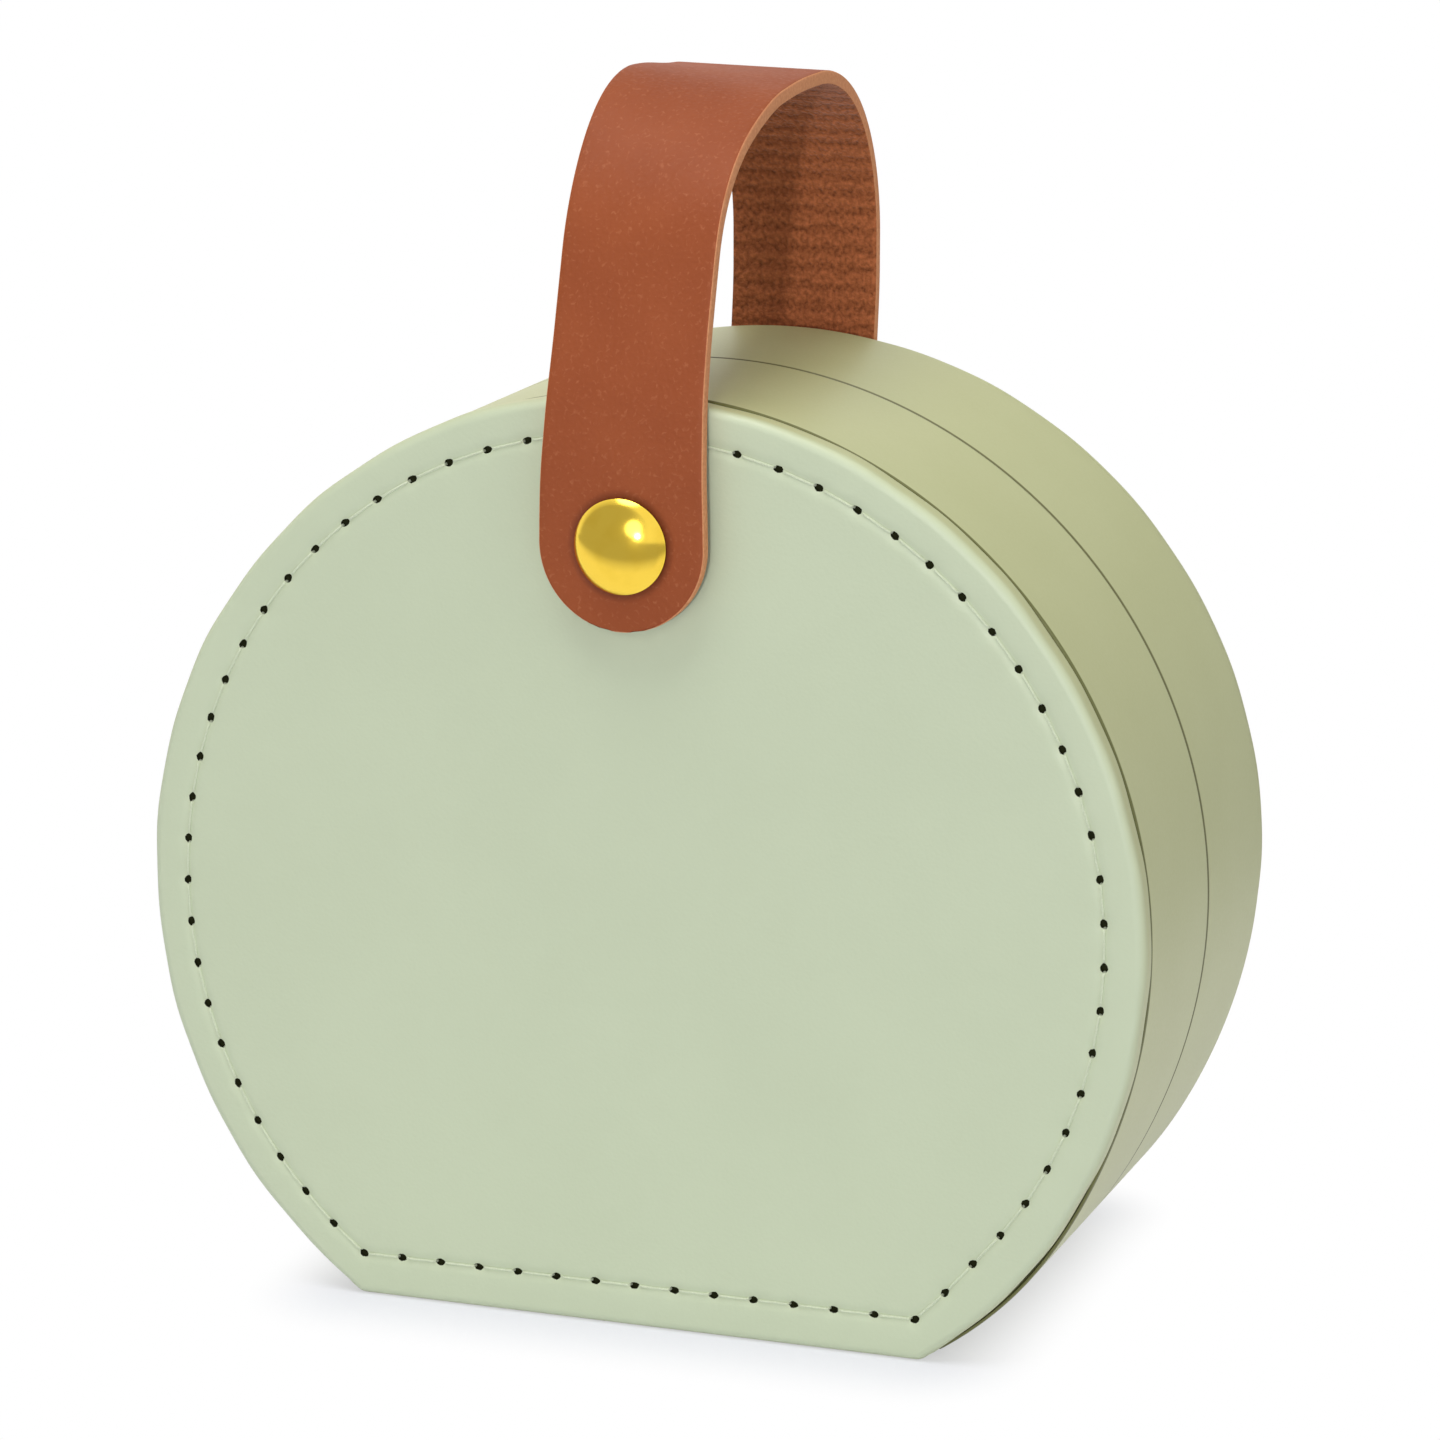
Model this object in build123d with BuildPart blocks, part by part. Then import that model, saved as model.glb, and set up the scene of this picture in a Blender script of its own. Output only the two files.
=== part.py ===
"""Travel jewellery box: a round clamshell case with a flat foot, a hinge strip below and a strap handle.

Millimetres. X runs to the right, Y to the back and Z up. The two halves part at Y = 0 and the case stands
on Z = 0. The front half is the lid and opens forward about the hinge strip's fold.
"""

import os
from math import atan, cos, radians, sin, tan

from build123d import *

os.makedirs("parts", exist_ok=True)

# Case
case_width = 110.0
foot_cut = 10.0
case_depth = 52.0
corner_radius = 4.0
parting_gap = 0.3
glue_gap = 0.05

# Stitched panels: a board wrapped in leatherette that is turned in behind it
panel_board = 2.0
panel_cover = 0.7
panel_edge_radius = 1.5
panel_back_radius = 0.5
panel_turn_in = 9.0

# Rim halves: a hard shell wrapped in leatherette, turned over the lip, with a lining inside
rim_inset = 0.2
rim_wrap = 0.6
rim_turn_in = 8.0
shell_wall = 1.8
shell_floor = 1.8
lining = 0.5

# Hinge strip below the foot
hinge_width = 54.0
hinge_thickness = 0.6
hinge_margin = 1.6

# Tray of the base: shelves, partitions and ring rolls
divider_thickness = 2.4
divider_height = 16.0
divider_edge = 0.9
tray_gap = 0.15
roll_count = 4
roll_width = 9.4
roll_height = 13.0
roll_gap = 0.5
roll_end_radius = 2.0
side_pocket_width = 17.15
bed_rise = 10.0
lower_partition_offset = -11.0

# Mirror of the lid
mirror_margin = 18.55
mirror_thickness = 1.6
mirror_gap = 0.3
mirror_rise = 2.0
pad_thickness = 2.6
pad_edge = 0.8

# Strap: front leg, loop and rear leg, all one length of leather
strap_width = 18.0
strap_thickness = 1.5
strap_drop = 24.0
strap_rise = 30.4
strap_side_gap = 1.15
loop_front_setback = 6.0
loop_rear_overhang = 1.9
leg_radius = 35.0
front_leg_straight = 2.0
front_leg_lean = 7.5
front_edge_drop = 0.5
rear_turn_rise = 4.0
rear_turn_drop = 5.0
rear_leg_straight = 5.65
rear_bend_angle = 70.0
front_bend_angle = 121.0

# Press stud and rivet
cap_radius = 5.0
cap_height = 1.9
cap_skirt = 0.5
post_radius = 1.4
post_clearance = 0.1
socket_radius = 4.5
socket_thickness = 1.05
stud_flange_radius = 4.2
stud_flange = 0.35
stud_head_radius = 1.8
stud_neck_radius = 1.5
snap_gap = 0.1
bore_clearance = 0.15
back_plate_radius = 4.0
back_plate = 0.45

# The case is a full round with a flat foot cut off it
case_radius = case_width / 2
case_height = case_width - foot_cut
centre_height = case_radius - foot_cut
half_depth = case_depth / 2
board_outer = half_depth - panel_cover
board_inner = board_outer - panel_board
board_inset = panel_cover + panel_edge_radius / 3
panel_inner = board_inner - panel_cover
hinge_reach = panel_inner - hinge_margin
lip = parting_gap / 2

# Press stud and rivet share one height, at the middle of the strap's round ends
strap_end_height = case_height - strap_drop
snap_height = strap_end_height + strap_width / 2
post_hole = post_radius + post_clearance
standoff = stud_flange + snap_gap + socket_thickness
strap_inner = half_depth + standoff

# Depths of the rim's layers, measured inward from its outside
shell_out = rim_wrap + glue_gap
shell_in = shell_out + shell_wall
liner_out = shell_in + glue_gap
liner_in = liner_out + lining
flange_in = liner_out + rim_wrap
tray_side = max(liner_in, flange_in) + tray_gap
shell_front = panel_inner - shell_floor
tray_floor = shell_front - lining

REAR = 1
FRONT = -1


def case_outline(inset, foot):
    """Round outline set in from the case's side, with its flat foot at this height."""
    with BuildSketch() as outline:
        with Locations((0, centre_height)):
            Circle(case_radius - inset)
        with Locations((0, foot)):
            Rectangle(case_width, case_height, align=(Align.CENTER, Align.MAX), mode=Mode.SUBTRACT)
        fillet(outline.vertices().group_by(Axis.Y)[0], max(corner_radius - inset, 0.5))
    return outline.sketch


def panel_outline(depth):
    return case_outline(depth, depth)


def rim_outline(depth):
    return case_outline(rim_inset + depth, hinge_thickness + depth)


def slab(side, near, far, shape, hole=None, mode=Mode.ADD):
    """Shape, less a hole, between two distances from the parting plane on one side of it."""
    with BuildSketch(Plane.XZ.offset(-max(side * near, side * far))) as face:
        add(shape)
        if hole:
            add(hole, mode=Mode.SUBTRACT)
    extrude(face.sketch, amount=far - near, mode=mode)


def rod(start, end, radius, mode=Mode.ADD, height=snap_height):
    """Round bar along Y between two depths, at the press stud's height unless another is given."""
    with BuildSketch(Plane.XZ.offset(-max(start, end))) as face:
        with Locations((0, height)):
            Circle(radius)
    extrude(face.sketch, amount=abs(end - start), mode=mode)


def dome(side, seat):
    """Low domed cap with a short straight skirt, its flat back at this distance from the parting plane."""
    rise = cap_height - cap_skirt
    ball = (cap_radius**2 + rise**2) / (2 * rise)
    rod(side * seat, side * (seat + cap_height), cap_radius)
    with Locations((0, side * (seat + cap_height - ball), snap_height)):
        Sphere(ball, mode=Mode.INTERSECT)


def turn_lip(side):
    """Leatherette over the outside of a rim half, across its lip and down its inside."""
    slab(side, lip, panel_inner, rim_outline(0), rim_outline(rim_wrap))
    slab(side, lip, lip + rim_wrap, rim_outline(0), rim_outline(flange_in))
    slab(side, lip, lip + rim_turn_in, rim_outline(liner_out), rim_outline(flange_in))


def shell_half(side):
    slab(side, lip + rim_wrap + glue_gap, panel_inner, rim_outline(shell_out))
    slab(side, 0, shell_front, rim_outline(shell_in), mode=Mode.SUBTRACT)


def lining_half(side):
    slab(side, lip + rim_turn_in + glue_gap, shell_front, rim_outline(liner_out))
    slab(side, 0, tray_floor, rim_outline(liner_in), mode=Mode.SUBTRACT)


def panel_cover_half(side):
    """Leatherette over a panel's board, round its edge and turned in behind it."""
    with BuildSketch(Plane.XZ.offset(-max(side * panel_inner, side * half_depth))) as face:
        add(panel_outline(0))
    plate = extrude(face.sketch, amount=half_depth - panel_inner)
    outside = plate.faces().sort_by(Axis.Y)[-1 if side > 0 else 0]
    inside = plate.faces().sort_by(Axis.Y)[0 if side > 0 else -1]
    fillet(outside.edges(), panel_edge_radius)
    fillet(inside.edges(), panel_back_radius)
    slab(side, board_inner, board_outer, panel_outline(board_inset), mode=Mode.SUBTRACT)
    slab(side, panel_inner, board_inner, panel_outline(panel_turn_in), mode=Mode.SUBTRACT)
    rod(side * board_inner, side * half_depth, post_hole, Mode.SUBTRACT)


def panel_board_half(side):
    slab(side, board_inner, board_outer, panel_outline(board_inset + glue_gap))
    rod(side * board_inner, side * board_outer, post_hole, Mode.SUBTRACT)


def divider(x, z, width, height):
    """Lined wall of the tray, standing on its floor, with a softened front edge."""
    front = tray_floor - divider_height
    with BuildSketch(Plane.XZ.offset(-tray_floor)) as face:
        add(rim_outline(tray_side))
        with Locations((x, z)):
            Rectangle(width, height, mode=Mode.INTERSECT)
    wall = extrude(face.sketch, amount=tray_floor - front)
    long_side = Axis.X if width > height else Axis.Z
    fillet(wall.faces().sort_by(Axis.Y)[0].edges().filter_by(long_side), divider_edge)


# Back panel
with BuildPart() as back_panel_cover:
    panel_cover_half(REAR)
back_panel_cover.part.label = "back_panel_cover"
export_step(back_panel_cover.part, "parts/back_panel_cover.step")

with BuildPart() as back_panel_board:
    panel_board_half(REAR)
back_panel_board.part.label = "back_panel_board"
export_step(back_panel_board.part, "parts/back_panel_board.step")

# Front panel
with BuildPart() as front_panel_cover:
    panel_cover_half(FRONT)
front_panel_cover.part.label = "front_panel_cover"
export_step(front_panel_cover.part, "parts/front_panel_cover.step")

with BuildPart() as front_panel_board:
    panel_board_half(FRONT)
front_panel_board.part.label = "front_panel_board"
export_step(front_panel_board.part, "parts/front_panel_board.step")

# Rim halves
with BuildPart() as rear_shell:
    shell_half(REAR)
rear_shell.part.label = "rear_shell"
export_step(rear_shell.part, "parts/rear_shell.step")

with BuildPart() as front_shell:
    shell_half(FRONT)
front_shell.part.label = "front_shell"
export_step(front_shell.part, "parts/front_shell.step")

with BuildPart() as rear_rim_cover:
    turn_lip(REAR)
rear_rim_cover.part.label = "rear_rim_cover"
export_step(rear_rim_cover.part, "parts/rear_rim_cover.step")

with BuildPart() as front_rim_cover:
    turn_lip(FRONT)
front_rim_cover.part.label = "front_rim_cover"
export_step(front_rim_cover.part, "parts/front_rim_cover.step")

with BuildPart() as base_lining:
    lining_half(REAR)
base_lining.part.label = "base_lining"
export_step(base_lining.part, "parts/base_lining.step")

with BuildPart() as lid_lining:
    lining_half(FRONT)
lid_lining.part.label = "lid_lining"
export_step(lid_lining.part, "parts/lid_lining.step")

# Hinge strip, as the leaf on each side of its fold
with BuildPart() as hinge_leaf_rear:
    with BuildSketch():
        Rectangle(hinge_width, hinge_reach, align=(Align.CENTER, Align.MIN))
    extrude(amount=hinge_thickness)
hinge_leaf_rear.part.label = "hinge_leaf_rear"
export_step(hinge_leaf_rear.part, "parts/hinge_leaf_rear.step")

with BuildPart() as hinge_leaf_front:
    with BuildSketch():
        Rectangle(hinge_width, hinge_reach, align=(Align.CENTER, Align.MAX))
    extrude(amount=hinge_thickness)
hinge_leaf_front.part.label = "hinge_leaf_front"
export_step(hinge_leaf_front.part, "parts/hinge_leaf_front.step")

# Tray: the ring rolls lie between two shelves and two partitions
tray_radius = case_radius - rim_inset - tray_side
bed_width = 2 * (tray_radius - side_pocket_width - divider_thickness)
bed_centre_height = centre_height + bed_rise
roll_pitch = roll_width + roll_gap
bed_height = roll_count * roll_pitch + roll_gap
shelf_spacing = bed_height + divider_thickness
partition_spacing = bed_width + divider_thickness
lower_shelf_height = bed_centre_height - shelf_spacing / 2
upper_shelf_height = bed_centre_height + shelf_spacing / 2

with BuildPart() as lower_shelf:
    divider(0, lower_shelf_height, case_width, divider_thickness)
lower_shelf.part.label = "lower_shelf"
export_step(lower_shelf.part, "parts/lower_shelf.step")

with BuildPart() as upper_shelf:
    divider(0, upper_shelf_height, case_width, divider_thickness)
upper_shelf.part.label = "upper_shelf"
export_step(upper_shelf.part, "parts/upper_shelf.step")

with BuildPart() as left_partition:
    divider(-partition_spacing / 2, bed_centre_height, divider_thickness, bed_height - 2 * tray_gap)
left_partition.part.label = "left_partition"
export_step(left_partition.part, "parts/left_partition.step")

with BuildPart() as right_partition:
    divider(partition_spacing / 2, bed_centre_height, divider_thickness, bed_height - 2 * tray_gap)
right_partition.part.label = "right_partition"
export_step(right_partition.part, "parts/right_partition.step")

lower_partition_top = lower_shelf_height - divider_thickness / 2 - tray_gap
lower_partition_foot = hinge_thickness + tray_side

with BuildPart() as lower_partition:
    divider(
        lower_partition_offset,
        (lower_partition_top + lower_partition_foot) / 2,
        divider_thickness,
        lower_partition_top - lower_partition_foot,
    )
lower_partition.part.label = "lower_partition"
export_step(lower_partition.part, "parts/lower_partition.step")

for number in range(1, roll_count + 1):
    roll_centre_height = bed_centre_height + (number - (roll_count + 1) / 2) * roll_pitch
    crown = tray_floor - roll_height + roll_width / 2
    with BuildPart() as ring_roll:
        with BuildSketch(Plane.YZ) as profile:
            with Locations((crown, roll_centre_height)):
                Circle(roll_width / 2)
                Rectangle(tray_floor - crown, roll_width, align=(Align.MIN, Align.CENTER))
            fillet(profile.vertices().group_by(Axis.X)[-1], divider_edge)
        extrude(amount=bed_width / 2 - roll_gap, both=True)
        fillet(ring_roll.faces().sort_by(Axis.X)[0].edges(), roll_end_radius)
        fillet(ring_roll.faces().sort_by(Axis.X)[-1].edges(), roll_end_radius)
    ring_roll.part.label = f"ring_roll_{number}"
    export_step(ring_roll.part, f"parts/ring_roll_{number}.step")

# Mirror and the pad that frames it
mirror_radius = tray_radius - mirror_margin
mirror_centre_height = centre_height + mirror_rise

with BuildPart() as lid_pad:
    slab(FRONT, tray_floor - pad_thickness, tray_floor, rim_outline(tray_side))
    fillet(lid_pad.faces().sort_by(Axis.Y)[-1].edges(), pad_edge)
    rod(
        -tray_floor,
        pad_thickness - tray_floor,
        mirror_radius + mirror_gap,
        Mode.SUBTRACT,
        height=mirror_centre_height,
    )
lid_pad.part.label = "lid_pad"
export_step(lid_pad.part, "parts/lid_pad.step")

with BuildPart() as mirror:
    rod(-tray_floor, mirror_thickness - tray_floor, mirror_radius, height=mirror_centre_height)
    chamfer(mirror.faces().sort_by(Axis.Y)[-1].edges(), mirror_thickness / 4)
mirror.part.label = "mirror"
export_step(mirror.part, "parts/mirror.step")

# Strap: its middle line in the YZ plane, from the front end over the loop to the rear end
front_leg = -strap_inner - strap_thickness / 2
rear_leg = half_depth + glue_gap + strap_thickness / 2
front_seat = strap_inner + strap_thickness
rear_seat = rear_leg + strap_thickness / 2
strap_end_radius = strap_width / 2 - glue_gap
loop_top = case_height + strap_rise - strap_thickness / 2
loop_radius = loop_top - case_height - rear_turn_rise - rear_leg_straight
leg_bend_height = snap_height + cap_radius + front_leg_straight
front_edge_height = max(case_height - front_edge_drop, leg_bend_height + front_leg_lean)
front_edge = Vector(-half_depth - strap_side_gap, front_edge_height)
front_shoulder = Vector(-half_depth + loop_front_setback, loop_top)
rear_shoulder = Vector(half_depth + loop_rear_overhang, loop_top)

# Lines across the strap where it bends back when it is let go, each through its own end of the loop
lean = atan((front_shoulder.X - front_edge.X) / (front_shoulder.Y - front_edge.Y))
front_turn = radians(90) - lean
bend_centre_height = loop_top - loop_radius
front_centre = front_shoulder.X + loop_radius * tan(front_turn / 2)
rear_centre = rear_shoulder.X - loop_radius
outer_radius = loop_radius + strap_thickness / 2


def bend_plane(centre, angle):
    across = radians(angle)
    return Plane(
        origin=(0, centre, bend_centre_height),
        x_dir=(1, 0, 0),
        z_dir=(0, -sin(across), cos(across)),
    )


rear_bend = bend_plane(rear_centre, rear_bend_angle)
front_bend = bend_plane(front_centre, front_bend_angle)


def strap_length():
    """The whole strap, before it is divided at its bends."""
    with BuildSketch(Plane.YZ) as band:
        with BuildLine() as middle:
            FilletPolyline(
                (front_leg, strap_end_height),
                (front_leg, leg_bend_height),
                (front_edge.X, front_edge.Y),
                (front_shoulder.X, front_shoulder.Y),
                (rear_shoulder.X, rear_shoulder.Y),
                (rear_shoulder.X, case_height + rear_turn_rise),
                (rear_leg, case_height - rear_turn_drop),
                (rear_leg, strap_end_height),
                radius=(leg_radius, leg_radius, loop_radius, loop_radius, leg_radius, leg_radius),
            )
        trace(middle.line, strap_thickness)
    extrude(band.sketch, amount=strap_width / 2, both=True)


with BuildPart() as strap_heel:
    strap_length()
    split(bisect_by=rear_bend, keep=Keep.BOTTOM)
    fillet(strap_heel.edges().filter_by(Axis.Y).group_by(Axis.Z)[0], strap_end_radius)
    rod(half_depth, rear_seat, post_hole, Mode.SUBTRACT)
strap_heel.part.label = "strap_heel"
export_step(strap_heel.part, "parts/strap_heel.step")

with BuildPart() as strap_arch:
    strap_length()
    split(bisect_by=rear_bend, keep=Keep.TOP)
    split(bisect_by=front_bend, keep=Keep.BOTTOM)
strap_arch.part.label = "strap_arch"
export_step(strap_arch.part, "parts/strap_arch.step")

with BuildPart() as strap_tongue:
    strap_length()
    split(bisect_by=front_bend, keep=Keep.TOP)
    fillet(strap_tongue.edges().filter_by(Axis.Y).group_by(Axis.Z)[0], strap_end_radius)
    rod(-strap_inner, -front_seat, post_hole, Mode.SUBTRACT)
strap_tongue.part.label = "strap_tongue"
export_step(strap_tongue.part, "parts/strap_tongue.step")

# Rivet at the strap's rear end
with BuildPart() as rivet_cap:
    dome(REAR, rear_seat)
rivet_cap.part.label = "rivet_cap"
export_step(rivet_cap.part, "parts/rivet_cap.step")

with BuildPart() as rivet_post:
    rod(board_inner - back_plate, board_inner, back_plate_radius)
    rod(board_inner, rear_seat, post_radius)
rivet_post.part.label = "rivet_post"
export_step(rivet_post.part, "parts/rivet_post.step")

# Press stud: cap and socket on the strap's front end, stud and post on the front panel
with BuildPart() as snap_cap:
    dome(FRONT, front_seat)
    rod(-strap_inner, -front_seat, post_radius)
snap_cap.part.label = "snap_cap"
export_step(snap_cap.part, "parts/snap_cap.step")

with BuildPart() as snap_socket:
    rod(-(strap_inner - socket_thickness), -strap_inner, socket_radius)
    fillet(snap_socket.faces().sort_by(Axis.Y)[-1].edges(), socket_thickness / 3)
    rod(-half_depth, -strap_inner, stud_head_radius + bore_clearance, Mode.SUBTRACT)
snap_socket.part.label = "snap_socket"
export_step(snap_socket.part, "parts/snap_socket.step")

stud_face = half_depth + stud_flange
stud_top = strap_inner - snap_gap
stud_waist = (stud_face + stud_top) / 2

with BuildPart() as snap_stud:
    rod(-half_depth, -stud_face, stud_flange_radius)
    rod(-stud_face, -stud_waist, stud_neck_radius)
    rod(-stud_waist, -stud_top, stud_head_radius)
snap_stud.part.label = "snap_stud"
export_step(snap_stud.part, "parts/snap_stud.step")

with BuildPart() as snap_post:
    rod(back_plate - board_inner, -board_inner, back_plate_radius)
    rod(-board_inner, -half_depth, post_radius)
snap_post.part.label = "snap_post"
export_step(snap_post.part, "parts/snap_post.step")


def bend_line(centre, angle):
    """Where the strap's outside crosses a bend: the axis it folds back about."""
    across = radians(angle)
    return centre + outer_radius * cos(across), bend_centre_height + outer_radius * sin(across)


print("rear bend Y, Z:", bend_line(rear_centre, rear_bend_angle))
print("front bend Y, Z:", bend_line(front_centre, front_bend_angle))
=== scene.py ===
import math
import random

import bmesh
import bpy
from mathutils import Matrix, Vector


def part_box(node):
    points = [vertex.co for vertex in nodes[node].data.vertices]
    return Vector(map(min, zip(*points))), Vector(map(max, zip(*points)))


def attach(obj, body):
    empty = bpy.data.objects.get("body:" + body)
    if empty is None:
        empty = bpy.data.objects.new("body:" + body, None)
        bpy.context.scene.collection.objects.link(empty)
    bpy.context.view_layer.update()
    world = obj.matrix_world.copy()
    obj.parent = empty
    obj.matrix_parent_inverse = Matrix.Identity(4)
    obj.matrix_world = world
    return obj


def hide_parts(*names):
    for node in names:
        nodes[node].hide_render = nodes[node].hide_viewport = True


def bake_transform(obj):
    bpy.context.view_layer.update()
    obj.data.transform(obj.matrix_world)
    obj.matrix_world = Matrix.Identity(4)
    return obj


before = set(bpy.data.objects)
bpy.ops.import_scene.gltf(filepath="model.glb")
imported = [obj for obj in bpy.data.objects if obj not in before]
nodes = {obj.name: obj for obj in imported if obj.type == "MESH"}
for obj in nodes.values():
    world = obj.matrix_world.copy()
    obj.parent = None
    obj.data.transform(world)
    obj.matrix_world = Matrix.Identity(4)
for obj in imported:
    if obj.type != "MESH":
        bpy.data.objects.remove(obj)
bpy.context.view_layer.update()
mm = 0.001

# Moulded shells: two stiff plastic bowls that give the halves of the case their shape. The coverings are
# glued over and into them, so no more than a dull edge of them ever shows.


def node(tree, kind, inputs=None, **options):
    """Adds a shader node with these options, and links or sets its inputs."""
    made = tree.nodes.new("ShaderNode" + kind)
    for name, value in options.items():
        setattr(made, name, value)
    for socket, value in (inputs or {}).items():
        if isinstance(value, bpy.types.NodeSocket):
            tree.links.new(value, made.inputs[socket])
        else:
            made.inputs[socket].default_value = value
    return made


def colour(red, green, blue):
    """Colour as it is seen, in steps of 255, turned into the light that gives it."""
    steps = [step / 255 for step in (red, green, blue)]
    light = [s / 12.92 if s <= 0.04045 else ((s + 0.055) / 1.055) ** 2.4 for s in steps]
    return (*light, 1.0)


def finish(name, numbers):
    """New material whose plain numbers are set, with its node tree and shader for the pattern."""
    made = bpy.data.materials.new(name)
    made.use_nodes = True
    surface = made.node_tree.nodes["Principled BSDF"]
    for socket, value in numbers.items():
        surface.inputs[socket].default_value = value
    return made, made.node_tree, surface


def tone(tree, share, first, second):
    """Colour between two others, by share."""
    return node(tree, "Mix", {0: share, 6: first, 7: second}, data_type="RGBA").outputs[2]


def level(tree, value, low, high, from_low=0.0, from_high=1.0):
    """Value stretched from one range to another, and held within it."""
    ends = {"Value": value, "From Min": from_low, "From Max": from_high, "To Min": low, "To Max": high}
    return node(tree, "MapRange", ends).outputs["Result"]


def relief(tree, surface, height, depth):
    """Raises and sinks the surface by a height from 0 to 1, times this depth."""
    bump = node(tree, "Bump", {"Height": height, "Distance": depth, "Strength": 1.0})
    tree.links.new(bump.outputs["Normal"], surface.inputs["Normal"])


def dress(material, *names):
    """Gives a finish to the model's own solids."""
    for name in names:
        for slot in nodes[name].material_slots:
            slot.material = material


shell_plastic, tree, surface = finish("shell_plastic", {"IOR": 1.46})
place = node(tree, "TexCoord").outputs["Object"]
mould = node(tree, "TexNoise", {"Vector": place, "Scale": 900.0, "Detail": 3.0}).outputs["Fac"]
flow = node(tree, "TexNoise", {"Vector": place, "Scale": 40.0, "Detail": 2.0}).outputs["Fac"]
tree.links.new(tone(tree, flow, colour(176, 176, 164), colour(190, 189, 178)), surface.inputs["Base Color"])
tree.links.new(level(tree, mould, 0.45, 0.62), surface.inputs["Roughness"])
relief(tree, surface, mould, 0.02 * mm)
dress(shell_plastic, "front_shell", "rear_shell")

# Velvet linings and tray walls: short-pile velvet glued into both bowls, and wrapped round the boards that
# divide the base into compartments. The pile lies in patches and brightens at a grazing angle.


def effect(name, inputs, outputs):
    """Empty shader group with named number inputs, a Vector input and named number outputs."""
    made = bpy.data.node_groups.new(name, "ShaderNodeTree")
    made.interface.new_socket("Vector", in_out="INPUT", socket_type="NodeSocketVector")
    for socket, value in inputs.items():
        made.interface.new_socket(socket, in_out="INPUT", socket_type="NodeSocketFloat").default_value = value
    for socket in outputs:
        made.interface.new_socket(socket, in_out="OUTPUT", socket_type="NodeSocketFloat")
    return made, made.nodes.new("NodeGroupInput").outputs, made.nodes.new("NodeGroupOutput").inputs


def placed(tree, group, inputs):
    """Places a shader group in a material and gives back its outputs."""
    return node(tree, "Group", inputs, node_tree=group).outputs


def maths(tree, operation, *values):
    """Result of a sum on numbers or the outputs of other shader nodes."""
    return node(tree, "Math", dict(enumerate(values)), operation=operation).outputs["Value"]


velvet_pile, given, gives = effect("velvet_pile", {"Pile": 4200.0, "Patches": 70.0}, ["Lie", "Height"])
patches = node(velvet_pile, "TexNoise", {"Vector": given["Vector"], "Scale": given["Patches"], "Detail": 4.0})
fibres = node(velvet_pile, "TexNoise", {"Vector": given["Vector"], "Scale": given["Pile"], "Detail": 2.0})
brushed = level(velvet_pile, patches.outputs["Fac"], 0.0, 1.0, 0.35, 0.65)
speckle = level(velvet_pile, fibres.outputs["Fac"], 0.0, 0.35, 0.3, 0.7)
lie = maths(velvet_pile, "MULTIPLY_ADD", brushed, fibres.outputs["Fac"], speckle)
velvet_pile.links.new(lie, gives["Lie"])
velvet_pile.links.new(fibres.outputs["Fac"], gives["Height"])


def velvet(name, dark, light, patches):
    """Velvet of two tones, with about so many patches of brushed pile to the metre."""
    numbers = {"Sheen Weight": 0.55, "Sheen Roughness": 0.35, "Sheen Tint": light, "Specular IOR Level": 0.15}
    made, tree, surface = finish(name, numbers)
    place = node(tree, "TexCoord").outputs["Object"]
    pile = placed(tree, velvet_pile, {"Vector": place, "Patches": patches})
    tree.links.new(tone(tree, pile["Lie"], dark, light), surface.inputs["Base Color"])
    tree.links.new(level(tree, pile["Lie"], 0.95, 0.8), surface.inputs["Roughness"])
    relief(tree, surface, pile["Height"], 0.12 * mm)
    return made


lining_velvet = velvet("lining_velvet", colour(198, 184, 160), colour(219, 207, 186), 60.0)
dress(lining_velvet, "base_lining", "lid_lining")
dress(lining_velvet, "lower_shelf", "upper_shelf", "left_partition", "right_partition", "lower_partition")

# Ring rolls: four foam bars covered in velvet, lying side by side between the shelves so that rings push in
# between them. Each is flat where it is glued down, and its cover is drawn in at the two ends.
roll_velvet = velvet("roll_velvet", colour(206, 193, 170), colour(226, 215, 196), 110.0)
enlarged = 10
roll_low, roll_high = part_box("ring_roll_1")
roll_size = roll_high - roll_low
roll_voxel = 1.0 * mm * enlarged
swell_limit = 0.35 * mm * enlarged
end_round = 1.6 * mm * enlarged
seam_from_end = 1.8 * mm * enlarged
face_round = 0.93
cloth_steps = 20


def begin():
    """Leaves edit mode and lets go of everything, ready for a new piece."""
    if bpy.context.mode != "OBJECT":
        bpy.ops.object.mode_set(mode="OBJECT")
    bpy.ops.object.select_all(action="DESELECT")


def settle(name):
    """Back in object mode, puts the new piece's place into its mesh and names it."""
    if bpy.context.mode != "OBJECT":
        bpy.ops.object.mode_set(mode="OBJECT")
    bpy.ops.object.transform_apply(location=True, rotation=True, scale=True)
    bpy.context.object.name = name
    return bpy.context.object


def pick(kind, test):
    """In edit mode, selects only the vertices, edges or faces that pass the test."""
    bpy.ops.mesh.select_mode(type=kind)
    bpy.ops.mesh.select_all(action="DESELECT")
    mesh = bmesh.from_edit_mesh(bpy.context.object.data)
    for part in {"VERT": mesh.verts, "EDGE": mesh.edges, "FACE": mesh.faces}[kind]:
        if test(part):
            part.select_set(True)
    mesh.select_flush_mode()
    bmesh.update_edit_mesh(bpy.context.object.data)


def middle(edge):
    """Point halfway along an edge."""
    return (edge.verts[0].co + edge.verts[1].co) / 2


def along(edge, axis):
    """Whether an edge runs along X, Y or Z, given as 0, 1 or 2."""
    return abs((edge.verts[1].co - edge.verts[0].co).normalized()[axis]) > 0.99


def apply_modifier(piece, kind, **settings):
    """Changes a piece's mesh by a modifier with these settings."""
    bpy.context.view_layer.objects.active = piece
    made = piece.modifiers.new(kind.lower(), kind)
    for name, value in settings.items():
        setattr(made, name, value)
    bpy.ops.object.modifier_apply(modifier=made.name)


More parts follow.
